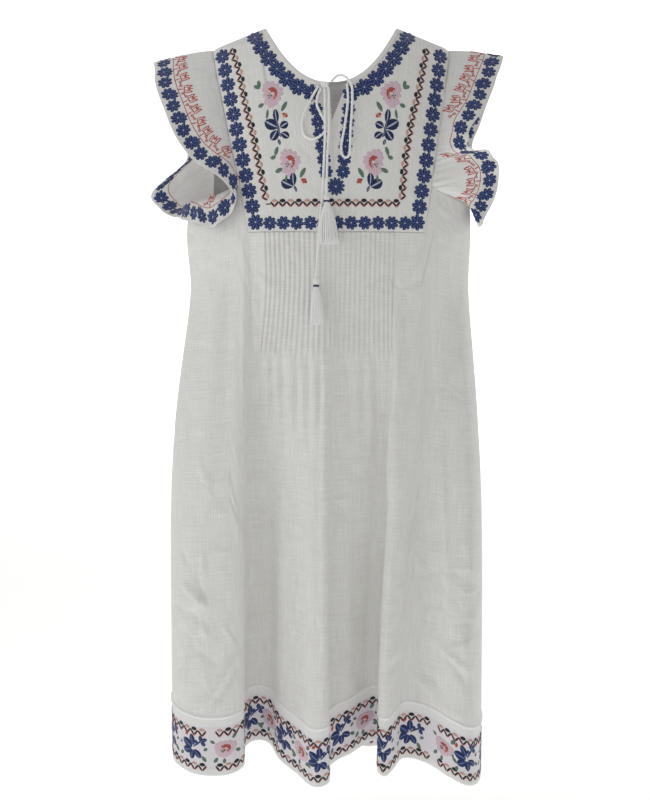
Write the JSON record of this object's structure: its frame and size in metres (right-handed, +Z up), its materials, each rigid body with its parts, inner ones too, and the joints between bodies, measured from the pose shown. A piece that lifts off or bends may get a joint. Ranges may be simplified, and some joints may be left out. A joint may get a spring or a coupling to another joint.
{
  "type": "peasant dress",
  "caption": "Peasant dress of thin white cotton with ruffle sleeves, a pin-tucked front, folk-flower embroidery and a tasselled neck tie, hanging open and filled out",
  "frame": {"origin": "Midway between the neck ends of the two shoulder seams, where the dress is held", "axes": "+Z up, +X to the right seen from the front, the front faces -Y"},
  "size_m": [0.5503, 0.2298, 1.1586],
  "materials": {
    "dress_cotton": "matte",
    "tie_cord": "matte",
    "tassel_thread": "matte",
    "embroidery_thread": "matte"
  },
  "bodies": {
    "root": {"front_yoke": "dress_cotton", "front_panel": "dress_cotton", "back_panel": "dress_cotton", "neck_binding": "dress_cotton", "sleeve_left": "dress_cotton", "sleeve_right": "dress_cotton", "hem_band_front": "dress_cotton", "hem_band_back": "dress_cotton", "tie_knot": "tie_cord", "tie_loop_left": "tie_cord", "tie_loop_right": "tie_cord", "tie_tail_upper": "tie_cord", "tie_tail_lower": "tie_cord", "tassel_upper": "tassel_thread", "tassel_lower": "tassel_thread", "tassel_upper_wrap": "embroidery_thread", "tassel_lower_wrap": "embroidery_thread"}
  },
  "joints": []
}
